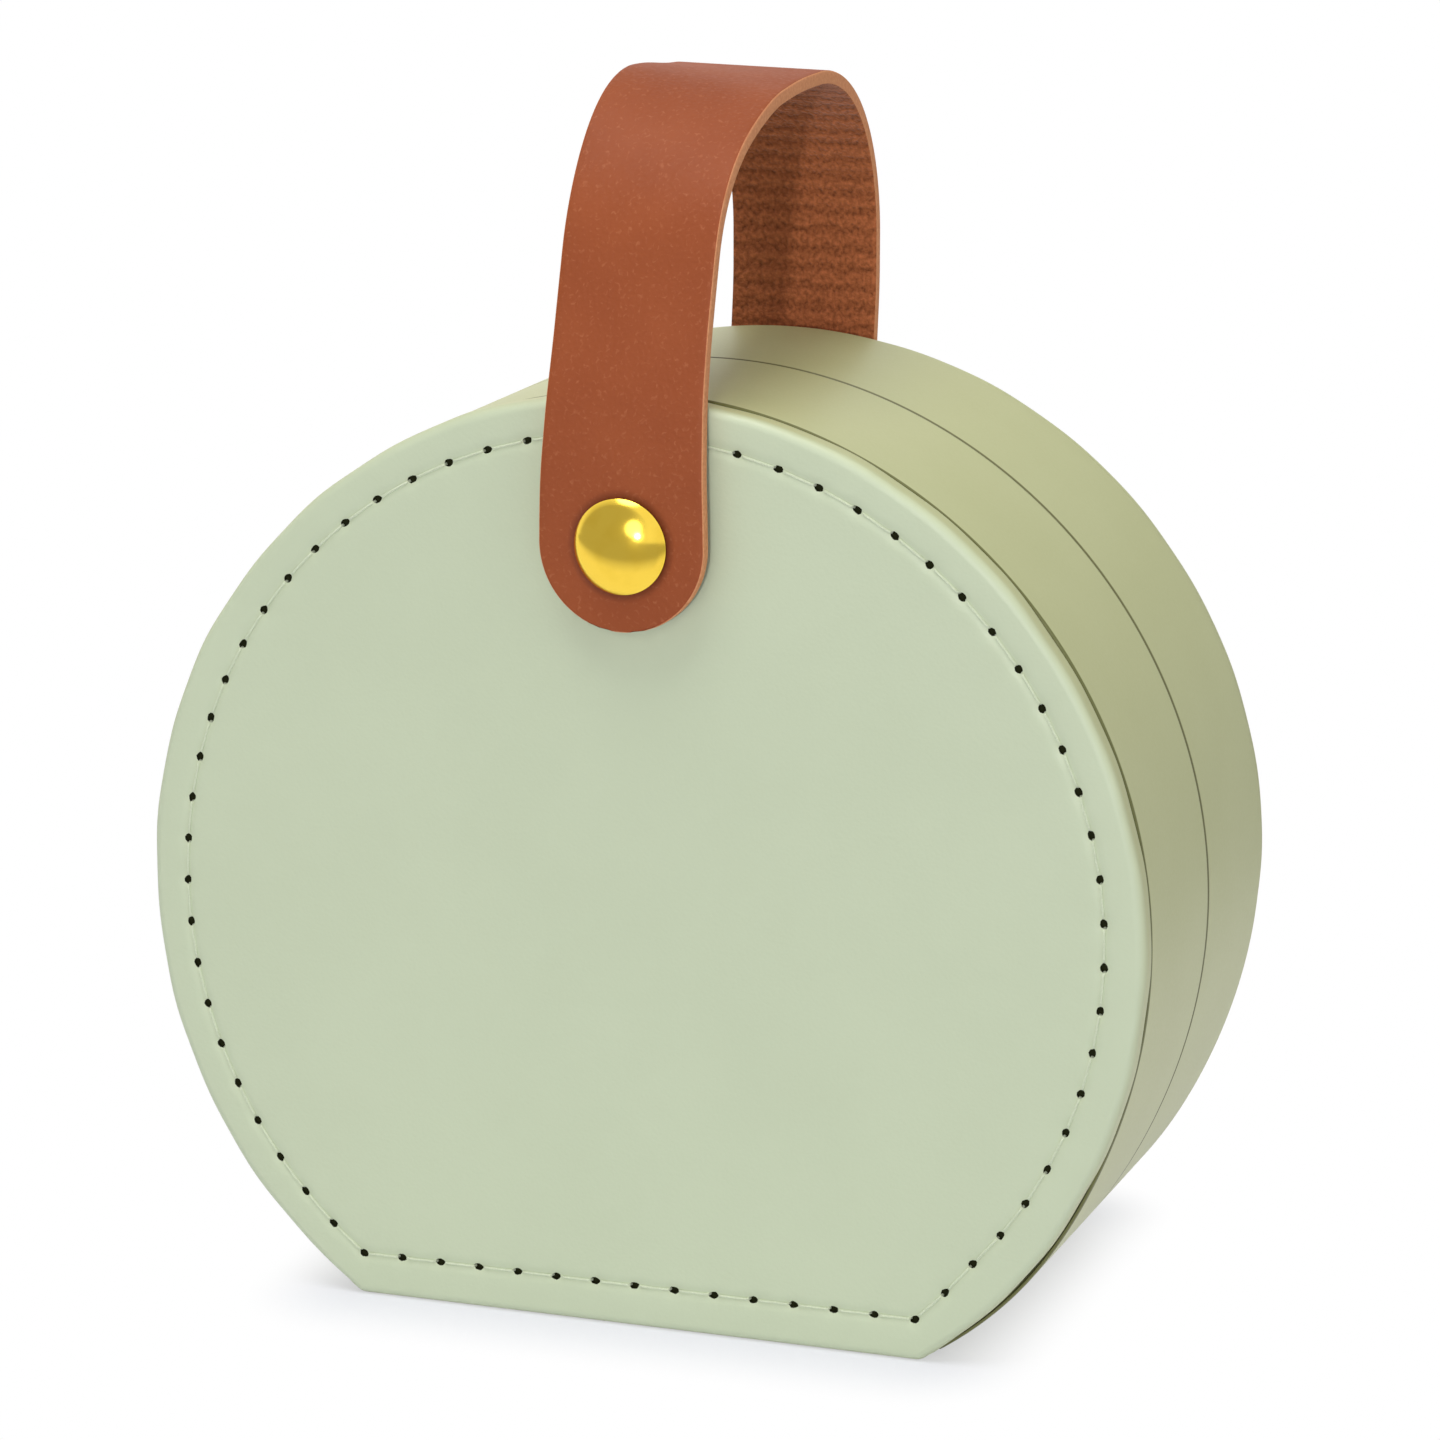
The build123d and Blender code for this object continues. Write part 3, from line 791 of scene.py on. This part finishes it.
def domed_cap(name, side, seat):
    """Low dome with a rolled rim that sinks a little into the leather."""
    rise = cap_rise - cap_lip
    ball = (cap_radius**2 + rise**2) / (2 * rise)
    steepest = math.asin(cap_radius / ball)
    profile = [(0.0, seat - side * cap_sunk), (cap_radius - cap_lip, seat - side * cap_sunk)]
    for n in range(5):
        turn = math.radians(-90 + 24 * n)
        profile.append(
            (cap_radius - cap_lip * (1 - math.cos(turn)), seat + side * cap_lip * (0.6 + math.sin(turn)))
        )
    for n in range(1, 15):
        lean = steepest * 0.97 * (1 - n / 14)
        profile.append((ball * math.sin(lean), seat + side * (cap_rise - ball * (1 - math.cos(lean)))))
    return turned(name, profile)


snap_dome = domed_cap("snap_dome", -1, snap_seat)
finish_piece(snap_dome, gold_plate, "strap_tongue", "snap_cap", slot="gold_metal")
rivet_dome = domed_cap("rivet_dome", 1, rivet_seat)
finish_piece(rivet_dome, gold_plate, "base", "rivet_cap", slot="gold_metal")
dress(gold_plate, "snap_socket", "snap_stud", "snap_post", "rivet_post")

# Strap: one length of brown leather, riveted to the back, looped over the top as a handle and snapped to the
# front. Its grain side is sealed, its inside is a cross-ribbed backing, and its cut edges are left raw. It is
# made as two lengths that meet on the crown of the loop, because each bends over its own fold.
strap_width = 18.0 * mm
strap_thickness = 1.5 * mm
strap_route = [
    (-28.25, 76.0),
    (-28.25, 92.0),
    (-27.15, 99.5),
    (-20.0, 129.65),
    (27.9, 129.65),
    (27.9, 104.0),
    (26.8, 95.0),
    (26.8, 76.0),
]
strap_bends = [35.0, 35.0, 20.0, 20.0, 35.0, 35.0]
row_step = 0.4 * mm
across_count = 24
rib_pitch = 2.2 * mm
rib_depth = 0.04 * mm
handle_narrowing = 0.07
handle_drift = 0.45 * mm
narrow_from, narrow_over = 8.0 * mm, 24.0 * mm
drift_from, drift_over = 20.0 * mm, 40.0 * mm
rear_held, rear_over = 4.0 * mm, 16.0 * mm
edge_round = 0.22 * mm
stud_along = 9.0 * mm
press_depth = 0.25 * mm
press_radius = 4.4 * mm
press_fade = 0.9 * mm

strap_leather, tree, surface = finish("strap_leather", {"Specular IOR Level": 0.25})
flat = node(tree, "UVMap", uv_map="strap").outputs["UV"]
grain = placed(tree, leather_grain, {"Vector": flat, "Cell": 1900.0, "Swell": 90.0})
flecks = node(tree, "TexNoise", {"Vector": flat, "Scale": 1900.0, "Detail": 2.0, "Distortion": 0.6})
fleck = level(tree, flecks.outputs["Fac"], 0.0, 0.32, 0.58, 0.74)
body_colour = tone(tree, grain["Shade"], colour(144, 70, 33), colour(150, 75, 37))
body_colour = tone(tree, fleck, body_colour, colour(190, 116, 78))
# Painted shade: a dark ring on the leather round the press stud's cap, where it is pressed in.
from_stud = vector_maths(tree, "DISTANCE", flat, (0, stud_along, 0))
stud_ring_shade = level(tree, from_stud, 0.7, 0.0, 5.0 * mm, 5.9 * mm)
tree.links.new(tone(tree, stud_ring_shade, body_colour, colour(92, 38, 16)), surface.inputs["Base Color"])
tree.links.new(level(tree, grain["Height"], 0.62, 0.5), surface.inputs["Roughness"])
relief(tree, surface, grain["Height"], 0.03 * mm)

cut_edge, tree, surface = finish("cut_edge", {"Specular IOR Level": 0.2})
place = node(tree, "TexCoord").outputs["Object"]
fibres = node(tree, "TexNoise", {"Vector": place, "Scale": 2600.0, "Detail": 4.0}).outputs["Fac"]
tree.links.new(tone(tree, fibres, colour(190, 116, 72), colour(230, 168, 122)), surface.inputs["Base Color"])
tree.links.new(level(tree, fibres, 0.75, 0.9), surface.inputs["Roughness"])
relief(tree, surface, fibres, 0.06 * mm)

strap_backing, tree, surface = finish("strap_backing", {"Sheen Weight": 0.15, "Specular IOR Level": 0.2})
flat = node(tree, "UVMap", uv_map="strap").outputs["UV"]
rib_scale = 1 / (math.pi * rib_pitch)
waves = {"Vector": flat, "Scale": rib_scale, "Distortion": 3.0, "Detail": 3.0, "Detail Scale": 4.0}
ribs = node(tree, "TexWave", waves, bands_direction="Y").outputs["Fac"]
threads = node(tree, "TexNoise", {"Vector": flat, "Scale": 1900.0, "Detail": 3.0}).outputs["Fac"]
nap = level(tree, threads, 0.0, 1.0, 0.3, 0.7)
weave = maths(tree, "MULTIPLY_ADD", nap, 0.7, maths(tree, "MULTIPLY", ribs, 0.3))
tree.links.new(tone(tree, weave, colour(114, 60, 28), colour(196, 114, 70)), surface.inputs["Base Color"])
tree.links.new(level(tree, threads, 0.8, 0.95), surface.inputs["Roughness"])
relief(tree, surface, weave, 0.2 * mm)

# The strap's middle line, as straight runs joined by arcs, each with its start, its length and how it turns
strap_runs = []
here = Vector(strap_route[0]) * mm
for n in range(1, len(strap_route) - 1):
    before, corner, after = (Vector(strap_route[i]) * mm for i in (n - 1, n, n + 1))
    arrive = (corner - before).normalized()
    leave = (after - corner).normalized()
    turn = arrive.angle_signed(leave)
    cut = strap_bends[n - 1] * mm * math.tan(abs(turn) / 2)
    strap_runs.append((here, arrive, (corner - arrive * cut - here).length, 0.0))
    strap_runs.append((corner - arrive * cut, arrive, strap_bends[n - 1] * mm * abs(turn), turn))
    here = corner + leave * cut
last = Vector(strap_route[-1]) * mm
strap_runs.append((here, (last - here).normalized(), (last - here).length, 0.0))
strap_length = sum(run[2] for run in strap_runs)
strap_middle = strap_length / 2

# Where handling has pushed the strap off its line: distance from the front end and reach, then the push at
# the strap's middle and how much that changes towards its right edge, all in millimetres
front_leg_dent = (46, 12, -0.22, 0.22)
front_bend_twist = (59, 11, -0.42, -1.33)
shoulder_swell = (69, 6, 0.16, -0.16)
crown_sag = (80, 10, -0.5, -0.1)


def strap_place(distance):
    """Point of the middle line at this distance from the front end, and its direction there."""
    for start, heading, length, turn in strap_runs:
        if distance <= length or start is strap_runs[-1][0]:
            break
        distance -= length
    if not turn:
        return start + heading * distance, heading
    radius = length / abs(turn)
    inward = Vector((heading.y, -heading.x)) * math.copysign(1.0, turn)
    angle = distance / radius
    point = start + heading * radius * math.sin(angle) + inward * radius * (1 - math.cos(angle))
    return point, heading * math.cos(angle) + inward * math.sin(angle)


def ease(share):
    """Share from 0 to 1, with a soft start and end."""
    share = min(max(share, 0.0), 1.0)
    return share * share * (3 - 2 * share)


def hand_shape(distance, lean):
    """How far the used strap stands off its line, at this distance and so far towards its right edge."""
    push = 0.0
    for centre, reach, at_middle, to_right in (front_leg_dent, front_bend_twist, shoulder_swell, crown_sag):
        push += (at_middle + to_right * lean) * math.exp(-(((distance / mm - centre) / reach) ** 2))
    return push * mm


def cut_corner(edge):
    """Whether an edge of the flat strap is a corner of its cut side, away from where the two lengths join."""
    at_join = abs(middle(edge).y - strap_middle) <= 0.01 * mm
    return edge.calc_face_angle(0) > 1.0 and not along(edge, 2) and not at_join


def strap_part(name, first, last):
    """Part of the strap between two distances along it, cut flat with a round end and laid on its line."""
    rows = round((last - first) / row_step)
    begin()
    bpy.ops.mesh.primitive_grid_add(x_subdivisions=across_count, y_subdivisions=rows, size=1)
    bpy.context.object.scale = (strap_width, last - first, 1)
    bpy.context.object.location = (0, (first + last) / 2, 0)
    piece = settle(name)
    for v in piece.data.vertices:
        to_end = min(v.co.y, strap_length - v.co.y)
        if to_end < strap_width / 2:
            lean = (strap_width / 2 - to_end) / (strap_width / 2)
            v.co.x *= math.sqrt(max(1 - lean**2, 0.0004))
    for slot in (strap_leather, cut_edge, strap_backing):
        piece.data.materials.append(slot)
    apply_modifier(piece, "SOLIDIFY", thickness=strap_thickness, offset=0.0, material_offset_rim=1)
    bpy.ops.object.mode_set(mode="EDIT")
    pick("EDGE", cut_corner)
    bpy.ops.mesh.bevel(offset=edge_round, segments=3, affect="EDGES")
    bpy.ops.object.mode_set(mode="OBJECT")
    chart = piece.data.uv_layers.new(name="strap")
    for loop in piece.data.loops:
        co = piece.data.vertices[loop.vertex_index].co
        chart.data[loop.index].uv = (co.x, co.y)
    for p in piece.data.polygons:
        if p.normal.z > 0.8:
            p.material_index = 0
        elif p.normal.z < -0.35:
            p.material_index = 2
    for v in piece.data.vertices:
        rise = v.co.z
        if rise < 0:
            edge = strap_width / 2 - abs(v.co.x)
            rise += rib_depth * math.sin(2 * math.pi * v.co.y / rib_pitch) * min(edge / (1.0 * mm), 1.0)
        point, heading = strap_place(v.co.y)
        outside = Vector((-heading.y, heading.x))
        lean = v.co.x / (strap_width / 2)
        from_stud = math.hypot(v.co.x, v.co.y - stud_along)
        if rise > 0:
            rise -= press_depth * math.exp(-((max(from_stud - press_radius, 0.0) / press_fade) ** 2))
        rear_end = ease((strap_length - rear_held - v.co.y) / rear_over)
        narrower = handle_narrowing * ease((v.co.y - narrow_from) / narrow_over) * rear_end
        drift = handle_drift * ease((v.co.y - drift_from) / drift_over) * rear_end
        across = v.co.x * (1 - narrower) + drift
        place = point + outside * (rise + hand_shape(v.co.y, lean))
        v.co = (across, place.x, place.y)
    return piece


front_strap = strap_part("strap_front", 0.0, strap_middle)
rear_strap = strap_part("strap_rear", strap_middle, strap_length)
for strap in (front_strap, rear_strap):
    hold(strap)
    bpy.ops.object.mode_set(mode="EDIT")
    bpy.ops.mesh.select_all(action="SELECT")
    bpy.ops.mesh.normals_make_consistent(inside=False)
    smooth(strap)
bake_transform(rear_strap)
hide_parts("strap_heel")
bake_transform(front_strap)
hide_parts("strap_arch", "strap_tongue")

# Studio: a pale floor in a white surround, a small key lamp and a soft one in front, soft lamps at the side,
# overhead and behind, and the camera at the photograph's angle. The floor keeps the case's shadow. Away from
# it, and above the open lid, which hangs below the foot, the camera sees through the floor.
floor_half = 3.0
stands_on = Vector((31.0, 26.0, 0.0)) * mm
shadow_reach = 14.0 * mm
hanging_depth = 60.0 * mm
lamp_target = Vector((0.0, 0.0, 60.0)) * mm


def seen(tree):
    """Whether a ray comes straight from the camera, or by way of a mirror or glass."""
    path = node(tree, "LightPath").outputs
    either = maths(tree, "MAXIMUM", path["Is Camera Ray"], path["Is Glossy Ray"])
    return maths(tree, "MAXIMUM", either, path["Is Transmission Ray"])


def white_glow(tree, ahead, start, full):
    """Strength of the white surround: full to the camera, half in reflections of what lies ahead or behind."""
    camera_ray = node(tree, "LightPath").outputs["Is Camera Ray"]
    return maths(tree, "MAXIMUM", level(tree, ahead, 1.0, 0.5, start, full), camera_ray)


begin()
bpy.ops.mesh.primitive_plane_add(size=2 * floor_half, location=(0, 0, 0))
floor = settle("floor")
floor_paint, tree, surface = finish("floor_paint", {"Specular IOR Level": 0.0, "Roughness": 1.0})
place = node(tree, "TexCoord").outputs["Object"]
mottle = node(tree, "TexNoise", {"Vector": place, "Scale": 30.0}).outputs["Fac"]
tree.links.new(tone(tree, mottle, colour(214, 216, 227), colour(218, 220, 231)), surface.inputs["Base Color"])
aside = vector_maths(tree, "SUBTRACT", vector_maths(tree, "ABSOLUTE", place), stands_on)
distance = vector_maths(tree, "LENGTH", vector_maths(tree, "MAXIMUM", aside, (0, 0, 0)))
bright = node(
    tree,
    "MapRange",
    {"Value": distance, "From Max": shadow_reach, "To Min": 0.5, "To Max": 1.0},
    interpolation_type="SMOOTHSTEP",
).outputs["Result"]
beneath = node(tree, "AmbientOcclusion", {"Distance": hanging_depth}, samples=16, inside=True).outputs["AO"]
open_air = level(tree, beneath, 1.0, 0.0, 0.8, 0.98)
share = maths(tree, "MULTIPLY", maths(tree, "MAXIMUM", bright, open_air), seen(tree))
ahead = maths(tree, "ABSOLUTE", node(tree, "SeparateXYZ", {"Vector": place}).outputs["Y"])
glow = white_glow(tree, ahead, 0.12, 0.22)
white = node(tree, "Emission", {"Color": (1, 1, 1, 1), "Strength": glow}).outputs["Emission"]
clear = node(tree, "BsdfTransparent").outputs["BSDF"]
away = level(tree, distance, 0.0, 1.0, 1.2 * shadow_reach, 1.4 * shadow_reach)
camera_ray = node(tree, "LightPath").outputs["Is Camera Ray"]
away = maths(tree, "MULTIPLY", maths(tree, "MAXIMUM", away, open_air), camera_ray)
white = node(tree, "MixShader", {0: away, 1: white, 2: clear}).outputs["Shader"]
above = node(tree, "MixShader", {0: share, 1: surface.outputs["BSDF"], 2: white}).outputs["Shader"]
below = node(tree, "NewGeometry").outputs["Backfacing"]
sheet = node(tree, "MixShader", {0: below, 1: above, 2: clear}).outputs["Shader"]
tree.links.new(sheet, tree.nodes["Material Output"].inputs["Surface"])
floor.data.materials.append(floor_paint)

world = bpy.data.worlds.new("white_surround")
bpy.context.scene.world = world
world.use_nodes = True
tree = world.node_tree
towards = node(tree, "TexCoord").outputs["Generated"]
ahead = maths(tree, "ABSOLUTE", vector_maths(tree, "DOT_PRODUCT", towards, (-0.5, -0.85, 0.1)))
glow = white_glow(tree, ahead, 0.55, 0.75)
strength = node(tree, "Mix", {0: seen(tree), 2: 0.32, 3: glow}, data_type="FLOAT").outputs[0]
tree.links.new(strength, tree.nodes["Background"].inputs["Strength"])
tree.nodes["Background"].inputs["Color"].default_value = (1, 1, 1, 1)


def direction(azimuth, elevation):
    """Way from the case to this azimuth and elevation, in degrees."""
    around, up = math.radians(azimuth), math.radians(elevation)
    return Vector((math.sin(around) * math.cos(up), -math.cos(around) * math.cos(up), math.sin(up)))


def softbox(name, azimuth, elevation, distance, size, power, in_reflections=True):
    """Round white lamp that looks at the case from this direction."""
    back = direction(azimuth, elevation)
    bpy.ops.object.light_add(type="AREA", location=lamp_target + back * distance)
    lamp = bpy.context.object
    lamp.name = name
    lamp.rotation_euler = (-back).to_track_quat("-Z", "Y").to_euler()
    lamp.visible_glossy = in_reflections
    lamp.data.shape = "DISK"
    lamp.data.size = size
    lamp.data.energy = power


begin()
softbox("key_lamp", 11, 9, 1.5, 0.05, 5.5)
softbox("front_lamp", 5, 19, 1.0, 0.38, 0.9)
softbox("side_lamp", 72, 25, 1.0, 0.6, 1.3, in_reflections=False)
softbox("top_lamp", -20, 75, 1.0, 0.7, 5.8)
softbox("back_lamp", 200, 12, 1.0, 0.7, 4.0, in_reflections=False)

camera_target = Vector((9.68, -26.0, 66.96)) * mm
camera_distance = 550.0 * mm
back = direction(19.78, 13.4)
bpy.ops.object.camera_add(location=camera_target + back * camera_distance)
camera = bpy.context.object
camera.rotation_euler = (-back).to_track_quat("-Z", "Y").to_euler()
camera.data.sensor_width = 36.0
camera.data.lens = 134.1
bpy.context.scene.camera = camera
bpy.context.scene.view_settings.view_transform = "Standard"
